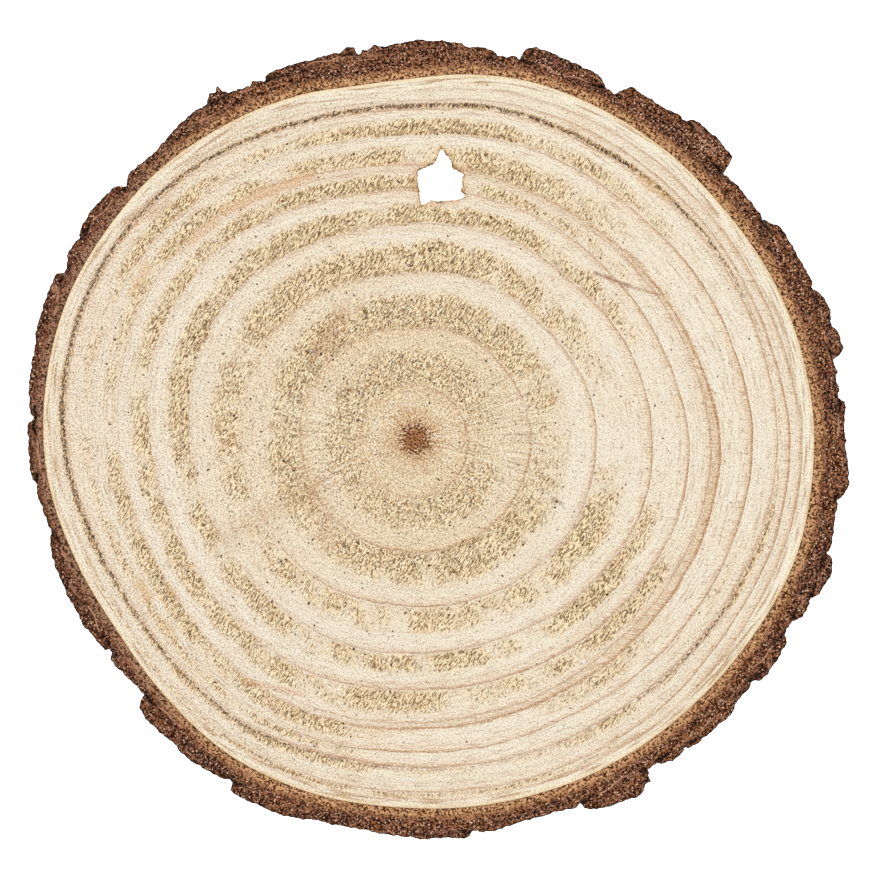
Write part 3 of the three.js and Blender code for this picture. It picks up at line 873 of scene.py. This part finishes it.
def makeSpeckPoints(rimRadii):
    s = speckSettings
    random = np.random.default_rng(s["seed"])
    rows = list(s["known"])
    while len(rows) < len(s["known"]) + s["strewn"]:
        angle, radius = random.uniform(0, 360), s["reach"] * math.sqrt(random.uniform(0.01, 1))
        x, y = radius * math.cos(math.radians(angle)), radius * math.sin(math.radians(angle))
        clear = math.dist((x, y), woodSettings["holeCentre"]) > s["holeClear"]
        likely = 0.25 + 0.75 * smooth(46, 8, radius) + 0.2 * smooth(10, -30, x)
        if clear and radius < rimRadii.min() - 1 and random.uniform() < likely:
            size = s["sizes"][0] + (s["sizes"][1] - s["sizes"][0]) * random.uniform() ** 2
            rows.append((angle, radius, size * random.uniform(1, 1.7), size))
    rows = np.array(rows)
    rows[:len(s["known"]), 2:] *= s["knownScale"]
    height = np.full(len(rows), sliceTop / mm - woodSettings["faceDrop"] - s["sunk"])
    points = np.column_stack([circle(rows[:, 0], rows[:, 1]), height])
    marks = dict(length=rows[:, 2], width=rows[:, 3], spin=random.uniform(0, math.pi, len(rows)))
    return meshObject("speckPoints", points, [], marks)


# the bark
barkSettings = dict(
    columns=1800,            # points round the slice
    cutRows=17,              # rows across the sawn upper face
    sideRows=23,
    underRows=6,
    innerOverlap=0.12,       # mm that the bark starts outside the wood's own edge
    cutDrop=0.10,            # mm that the bark's sawn face lies under the slice's full height
    innerBark=1.30,          # mm of paler inner bark
    seamStep=0.55,           # mm of a jump in the outline that a crack runs in from
    seamReach=5,             # columns on each side of a jump that it is measured over
    seamRadius=55,           # mm, the radius that a crack's run is measured at
    seamRun=9.0,             # mm that such a crack runs on under the next scale
    flowRadius=54,           # mm, the radius that drawn-out patterns are measured at
    plateSize=(4.2, 4.2, 8.0),
    plateDepth=0.75,         # mm between one scale and the next
    layerDepth=0.35,
    furrowDepth=0.9,
    grainDepth=0.16,
    crackDepth=0.7,
    edgeRoughness=0.12,
)


def seamMarks(angles, inner, outer):
    # cracks that run in under a scale from each jump in the outline: how far each column's crack
    # is from the pith, and how far along the crack the column lies
    s = barkSettings
    count, reach = len(angles), s["seamReach"]
    jump = np.roll(outer, -reach) - np.roll(outer, reach)
    crack = np.full(count, -99.0)
    run = np.full(count, 99.0)
    peaks = [i for i in range(count) if abs(jump[i]) > s["seamStep"]
             and abs(jump[i]) >= max(abs(np.take(jump, range(i - 8, i + 9), mode="wrap")))]
    for number, i in enumerate(peaks):
        way = 1 if jump[i] > 0 else -1
        start = i - way * reach
        level = outer[start % count] - 0.15
        span = s["seamRun"] * (0.55 + 0.45 * math.sin(number * 2.4))
        for k in range(count):
            along = k * math.radians(360 / count) * s["seamRadius"]
            j = (start + way * k) % count
            if along > span:
                break
            slope = level - inner[start % count] - 0.10 * along + 0.16 * math.sin(along * 1.4 + number)
            if k < 2 * reach + 6 or run[j] > along:
                crack[j], run[j] = inner[j] + max(slope, 0.9), along
    return crack, run


def edgeRoughness(angles, height):
    # small bumps of the bark's outer edge, in mm
    turn = np.radians(angles)
    total = np.zeros_like(turn)
    for k, (around, size) in enumerate(((59, 0.9), (97, 0.9), (151, 0.8), (233, 0.8), (379, 0.7))):
        bend = height * (0.7 + 0.5 * k) + 2 * np.sin(turn * (5 + 3 * k))
        total += size * np.sin(around * turn + 1.9 * k + bend)
    return barkSettings["edgeRoughness"] * total / 2.5


def makeBarkBlank(rimAngles, rimRadii):
    s = barkSettings
    tree = treeOf("bark")
    angles = np.arange(s["columns"]) * 360 / s["columns"]
    inner = np.interp(angles, rimAngles, rimRadii, period=360)
    inner = inner - woodSettings["rimOverlap"] + s["innerOverlap"]
    full = sliceTop / mm
    high, low = full - s["cutDrop"], s["cutDrop"]
    heights = np.linspace(high, low, s["sideRows"])
    walls = [radiiOf(tree, angles, h * mm) + edgeRoughness(angles, h)
             for h in np.clip(heights, 0.02, full - 0.02)]
    crack, run = seamMarks(angles, inner, walls[0])
    rows = []
    for share in np.linspace(0, 1, s["cutRows"])[:-1]:
        rows.append((inner + (walls[0] - inner) * share, np.full_like(angles, high), 1.0, walls[0]))
    for wall, height in zip(walls, heights):
        onCut = height in (heights[0], heights[-1])
        rows.append((wall, np.full_like(angles, height), 0.5 if onCut else 0.0, wall))
    for share in np.linspace(1, 0, s["underRows"])[1:]:
        rows.append((inner + (walls[-1] - inner) * share, np.full_like(angles, low), 1.0, walls[-1]))
    points, marks = [], dict(barkDepth=[], edgeGap=[], sawn=[], seamOffset=[], seamRun=[], grainMask=[])
    for radii, height, sawn, wall in rows:
        depth, upper = radii - inner, height[0] > full / 2
        points.append(np.column_stack([circle(angles, radii), height]))
        marks["barkDepth"].append(depth)
        marks["edgeGap"].append(wall - radii)
        marks["sawn"].append(np.full_like(angles, sawn))
        marks["seamOffset"].append(radii - crack if upper and sawn else np.full_like(angles, 9.0))
        marks["seamRun"].append(run)
        share = 0.25 + 0.75 * smooth(0.9, 1.7, depth)
        marks["grainMask"].append(share * (1.0 if sawn > 0.2 else 0.35))
    count, columns = len(rows), len(angles)
    faces = []
    for k in range(count):
        here, there = k * columns, ((k + 1) % count) * columns
        for i in range(columns):
            j = (i + 1) % columns
            faces.append((here + i, there + i, there + j, here + j))
    marks = {label: np.concatenate(values) for label, values in marks.items()}
    return meshObject("barkBlank", np.vstack(points), faces, marks)


def makeBarkTree():
    # relief of the bark: scales at different heights, layers, furrows, cracks and grain
    tree, g, given, out = newGrowTree("bark relief", {
        "Plate Depth": 0.5, "Layer Depth": 0.2, "Furrow Depth": 0.5, "Grain Depth": 0.1, "Crack Depth": 0.5})
    place = g.fromPith(g.position())
    sawn, depth = g.read("sawn"), g.read("barkDepth")
    bent = g.swayed(place, (3, 3, 3), 3.0, (2.4, 2.4, 2.4))
    scaled = g.scaled(bent, barkSettings["plateSize"])
    plate = g.split(g.cells(scaled).outputs["Color"])[0]
    gap = g.cells(scaled, "DISTANCE_TO_EDGE").outputs[0]
    layers = g.cloud(g.scaled(bent, (2.2, 2.2, 4.5)), 3.0, 0.6)
    layers = g.times(g.math("FLOOR", g.times(layers, 9.0)), 1 / 9)
    grain = g.cloud(g.scaled(place, (0.42, 0.42, 0.6)), 2.0, 0.6)
    height = g.times(g.minus(plate, 1.0), given["Plate Depth"])
    height = g.plus(height, g.times(g.minus(layers, 0.6), given["Layer Depth"]))
    height = g.minus(height, g.times(g.step(gap, 0.09, 0.0), given["Furrow Depth"]))
    middle = sliceTop / mm / 2
    fromMiddle = g.math("ABSOLUTE", g.minus(g.split(place)["Z"], middle))
    # near the edges of the scales, where the furrows run; the bark's finish paints shade there
    furrow = g.step(gap, 0.13, 0.02)
    height = g.times(height, g.step(fromMiddle, middle, middle - 1.1))
    onSide = g.times(g.minus(1.0, g.step(sawn, 0.0, 0.4)), g.step(depth, 0.9, 2.2))
    height = g.times(height, onSide)
    rough = g.times(g.minus(grain, 0.6), given["Grain Depth"])
    rough = g.times(rough, g.step(depth, 0.0, 0.6))
    crack = g.times(g.step(g.math("ABSOLUTE", g.read("seamOffset")), 0.55, 0.1),
                    g.step(g.read("seamRun"), 3.5, 0.5))
    rough = g.minus(rough, g.times(crack, given["Crack Depth"]))
    total = g.times(g.plus(height, rough), mm)
    offset = g.stretched(g.node("GeometryNodeInputNormal").outputs[0], total)
    stored = given["Geometry"]
    for label, value in (("furrow", furrow), ("plate", g.plus(g.times(plate, 0.6), g.times(layers, 0.6)))):
        stored = g.stored(stored, label, value, "POINT")
    moved = g.node("GeometryNodeSetPosition", {"Geometry": stored, "Offset": offset}).outputs[0]
    endTree(g, out, moved, given["Material"])
    return tree


def makeBarkMaterial(fleckGroup, dotGroup):
    s = barkSettings
    material, g, bsdf, place = newMaterial("bark", 0.04)
    depth, sawn, edge = g.read("barkDepth"), g.read("sawn"), g.read("edgeGap")
    grain = g.cloud(g.scaled(place, (0.22, 0.22, 0.4)), 2.0, 0.65)
    patches = g.cloud(g.scaled(place, (2.6, 2.6, 3.5)), 3.0, 0.6)
    parts = g.split(place)

    # patterns that are drawn out along the bark: along it, and in from its outer edge
    around = g.vector("NORMALIZE", g.vector("MULTIPLY", place, (1, 1, 0)))

    def flow(along, across):
        turns = s["flowRadius"] / along
        line = g.vector("MULTIPLY", around, (turns, turns, 0))
        return g.vector("ADD", line, g.join(g.times(parts["Z"], 0.11), g.times(parts["Z"], 0.07),
                                            g.times(depth, 1 / across)))

    # sawn face: golden inner bark, greyer on the left
    left = g.step(parts["X"], -20.0, -46.0)
    innerDark = g.blend(left, "46240a", "331c14")
    innerLight = g.blend(left, "dcaa7b", "a98268")
    streaks = g.cloud(flow(2.4, 0.30), 2.0, 0.6)
    gritty = g.cloud(g.scaled(g.turned(place, patternTurn), (0.29, 0.29, 0.4)), 1.0, 0.6)
    mottle = g.plus(g.times(gritty, 0.72), g.times(g.cloud(flow(0.9, 0.22), 1.0, 0.7), 0.28))
    innerTone = g.blend(g.step(mottle, 0.42, 0.56), innerDark, innerLight)
    innerTone = g.tint(innerTone, "844520", g.step(streaks, 0.50, 0.66, 0.0, 0.42))

    # outer bark: dark, in drawn-out layers, full of pale grains
    layers = g.cells(flow(5.0, 1.25)).outputs["Color"]
    hue = g.split(layers)[0]
    outerDark = g.blend(hue, "160602", "2a0f05")
    outerMid = g.blend(hue, "8a5846", "a0663f")
    outerMid = g.tint(outerMid, "5c3324", left, 0.6)
    outerTone = g.blend(g.step(gritty, 0.49, 0.58), outerDark, outerMid)
    pale = dots(g, dotGroup, g.scaled(place, (0.30, 0.30, 0.4)), 0.44, 0.46, 0.15, 1.0)
    outerTone = g.tint(outerTone, "f0c4a2", pale)
    rims = g.step(g.cells(flow(5.0, 1.25), "DISTANCE_TO_EDGE").outputs[0], 0.07, 0.02)
    rims = g.times(rims, g.step(g.cloud(flow(3.0, 1.0)), 0.42, 0.62))
    rimTone = g.blend(g.step(hue, 0.45, 0.55), "1c0b06", "b98468")
    outerTone = g.tint(outerTone, rimTone, rims, 0.65)
    border = g.plus(depth, g.times(g.minus(patches, 0.5), 1.5))
    limit = s["innerBark"]
    cutTone = g.blend(g.step(border, limit * 0.75, limit * 1.5), innerTone, outerTone)
    seam = g.times(g.step(border, limit * 0.7, limit), g.step(border, limit * 1.5, limit))
    cutTone = g.tint(cutTone, "8a4420", g.times(seam, g.step(gritty, 0.52, 0.60, 0.10, 0.55)))
    cutTone = g.tint(cutTone, "5e3c1e", g.step(depth, 0.22, 0.05, 0.0, 0.6))
    cutTone = g.tint(cutTone, "26110a", g.step(edge, 0.32, 0.05, 0.0, 0.8))

    # cracks under the scales: black where they start, painted shadow of the hollow under the scale, and a
    # pale line further on
    offset, run = g.math("ABSOLUTE", g.read("seamOffset")), g.read("seamRun")
    width = g.step(run, 4.0, 0.0, 0.10, 0.42)
    crack = g.step(offset, width, g.times(width, 0.4))
    # painted shadow in the opening of each crack under its scale
    cutTone = g.tint(cutTone, "120804", g.times(crack, g.step(run, 3.8, 1.8)))
    pale = g.times(g.step(offset, 0.14, 0.05), g.times(g.step(run, 2.5, 3.5), g.step(run, 9.0, 6.0)))
    cutTone = g.tint(cutTone, "c99577", pale, 0.8)

    # weathered outside, with painted shade in the furrows
    plate = g.read("plate")
    skin = g.blend(g.step(plate, 0.25, 0.85), "3f2116", "7c5344")
    skin = g.tint(skin, "8d5334", g.step(patches, 0.52, 0.70, 0.0, 0.7))
    weather = g.cloud(g.scaled(place, (0.9, 0.9, 2.6)), 3.0, 0.7)
    skin = g.streaks(skin, weather, None, (0.50, 0.68, 0.65, "a48170"), (0.48, 0.36, 0.80, "24110a"))
    skin = g.tint(skin, "b89a88", g.step(grain, 0.52, 0.70, 0.0, 0.6))
    broken = g.step(g.cloud(g.scaled(place, (1.6, 1.6, 2.2)), 1.0), 0.34, 0.58, 0.25, 0.9)
    # near black in the furrows between scales: painted shade
    skin = g.tint(skin, "1d0d07", g.times(g.read("furrow"), broken))
    colour = g.blend(g.step(sawn, 0.1, 0.6), skin, cutTone)
    flecked = flecks(g, fleckGroup, colour, g.scaled(place, (0.22, 0.22, 0.35)), 0.35, "140703", "b08062")
    g.feed(bsdf.inputs["Base Color"], flecked["Color"])
    g.feed(bsdf.inputs["Roughness"], g.step(grain, 0.3, 0.7, 0.95, 0.75))
    bumpInto(g, bsdf, g.plus(g.times(grain, 0.7), g.times(flecked["Height"], 0.5)), 0.15 * mm, 0.9)
    return material


def makeGrainMaterial():
    # hard pale grains in the outer bark, golden ones in the inner bark
    material, g, bsdf = newMaterial("bark grains", 0.12)[:3]
    tone, depth = g.read("tone"), g.read("barkDepth")
    inner = g.blend(g.step(tone, 0.2, 0.8), "7a4c24", "dcae7e")
    outer = g.blend(g.step(tone, 0.38, 0.60), "1a0a05", "8a583e")
    outer = g.tint(outer, "f0c8a8", g.step(tone, 0.70, 0.90))
    g.feed(bsdf.inputs["Base Color"], g.blend(g.step(depth, 0.9, 1.6), inner, outer))
    bsdf.inputs["Roughness"].default_value = 0.7
    return material


# small pieces strewn over the wood and the bark
scatterSettings = dict(
    fibres={"Mask": "tornTop", "Count per mm2": 7.5, "Clump Size": 1.3, "Smallest": (0.25, 0.06, 0.05),
            "Largest": (0.80, 0.13, 0.09), "Turn From": (0, math.radians(-4), math.radians(50)),
            "Turn To": (0, math.radians(4), math.radians(70)), "Sides": 4, "Bands": 2, "Seed": 5},
    grains={"Mask": "grainMask", "Count per mm2": 9.5, "Clump Size": 1.1, "Smallest": (0.12, 0.12, 0.10),
            "Largest": (0.30, 0.24, 0.20), "Turn From": (0, 0, 0), "Turn To": (0.5, 0.5, math.pi),
            "Follow Surface": True, "Sides": 4, "Bands": 2, "Seed": 9},
)


# the floor, light and camera
sceneSettings = dict(
    pictureWidth=121.9,      # mm across the square picture, on the slice's upper face
    pictureCentre=(0.21, -0.07),
    lens=800,
    sensor=36,
    clips=(0.01, 20),        # metres, the nearest and furthest that the camera sees
    floorSize=3.0,
    floorDrop=0.00002,       # metres that the floor lies under the slice
    floorGlow=0.95,
    roomLight=0.72,
    lights=[("window", 4.4, (-0.55, 0.45, 0.9), 0.5), ("fill", 2.4, (0.5, -0.3, 1.0), 0.8)],
)


def makeFloor():
    s = sceneSettings
    bpy.ops.mesh.primitive_plane_add(size=s["floorSize"], location=(0, 0, -s["floorDrop"]))
    floor = bpy.context.object
    floor.name = "paleFloor"
    material = bpy.data.materials.new("pale floor")
    material.use_nodes = True
    look = material.node_tree.nodes["Principled BSDF"].inputs
    for name, value in (("Base Color", (0.92, 0.92, 0.92, 1)), ("Roughness", 0.9),
                        ("Emission Color", (1, 1, 1, 1)), ("Emission Strength", s["floorGlow"])):
        look[name].default_value = value
    floor.data.materials.append(material)


def makeLight(name, energy, place, size):
    data = bpy.data.lights.new(name, "AREA")
    data.energy, data.size = energy, size
    light = bpy.data.objects.new(name, data)
    light.location = place
    light.rotation_euler = (-Vector(place)).to_track_quat("-Z", "Y").to_euler()
    bpy.context.scene.collection.objects.link(light)


def makeCamera():
    s = sceneSettings
    data = bpy.data.cameras.new("camera")
    data.lens, data.sensor_width = s["lens"], s["sensor"]
    data.clip_start, data.clip_end = s["clips"]
    camera = bpy.data.objects.new("camera", data)
    away = s["pictureWidth"] * mm * s["lens"] / s["sensor"]
    camera.location = (s["pictureCentre"][0] * mm, s["pictureCentre"][1] * mm, sliceTop + away)
    bpy.context.scene.collection.objects.link(camera)
    bpy.context.scene.camera = camera


makeFloor()
for light in sceneSettings["lights"]:
    makeLight(*light)
makeCamera()
world = bpy.data.worlds.new("soft room")
world.use_nodes = True
room = world.node_tree.nodes["Background"].inputs
room["Color"].default_value, room["Strength"].default_value = (1, 1, 1, 1), sceneSettings["roomLight"]
bpy.context.scene.world = world
bpy.context.scene.view_settings.view_transform = "Standard"
print("floor, light and camera made")

fleckGroup, dotGroup, smudgeGroup = makeFleckGroup(), makeDotGroup(), makeSmudgeGroup()
scatterTree = makeScatterTree()
woodMaterial = makeWoodMaterial(fleckGroup, dotGroup, smudgeGroup)
woodBlank, rimAngles, rimRadii = makeWoodBlank()
wood = grow(woodBlank, makeWoodTree(), {
    "Torn Depth": woodSettings["tornDepth"], "Line Rise": woodSettings["lineRise"],
    "Saw Depth": woodSettings["sawDepth"], "Material": woodMaterial}, "woodDisc")
fibreMaterial = makeFibreMaterial(fleckGroup)
fibres = grow(wood, scatterTree, {**scatterSettings["fibres"], "Material": fibreMaterial}, "tornFibres")
resinMaterial = makeResinMaterial(fleckGroup)
speckPoints = makeSpeckPoints(rimRadii)
specks = grow(speckPoints, makeSpeckTree(), {"Thickness": speckSettings["thickness"],
                                             "Material": resinMaterial}, "resinSpecks")
bpy.data.objects.remove(speckPoints)
bpy.data.objects.remove(woodBlank)
finished(wood, woodMaterial, "wood")
finished(fibres, fibreMaterial)
finished(specks, resinMaterial)
print("wood made")

barkMaterial = makeBarkMaterial(fleckGroup, dotGroup)
barkBlank = makeBarkBlank(rimAngles, rimRadii)
bark = grow(barkBlank, makeBarkTree(), {
    "Plate Depth": barkSettings["plateDepth"], "Layer Depth": barkSettings["layerDepth"],
    "Furrow Depth": barkSettings["furrowDepth"], "Grain Depth": barkSettings["grainDepth"],
    "Crack Depth": barkSettings["crackDepth"], "Material": barkMaterial}, "barkRing")
grainMaterial = makeGrainMaterial()
grains = grow(bark, scatterTree, {**scatterSettings["grains"], "Material": grainMaterial}, "barkGrains")
bpy.data.objects.remove(barkBlank)
finished(bark, barkMaterial, "bark")
finished(grains, grainMaterial)
print("bark made")
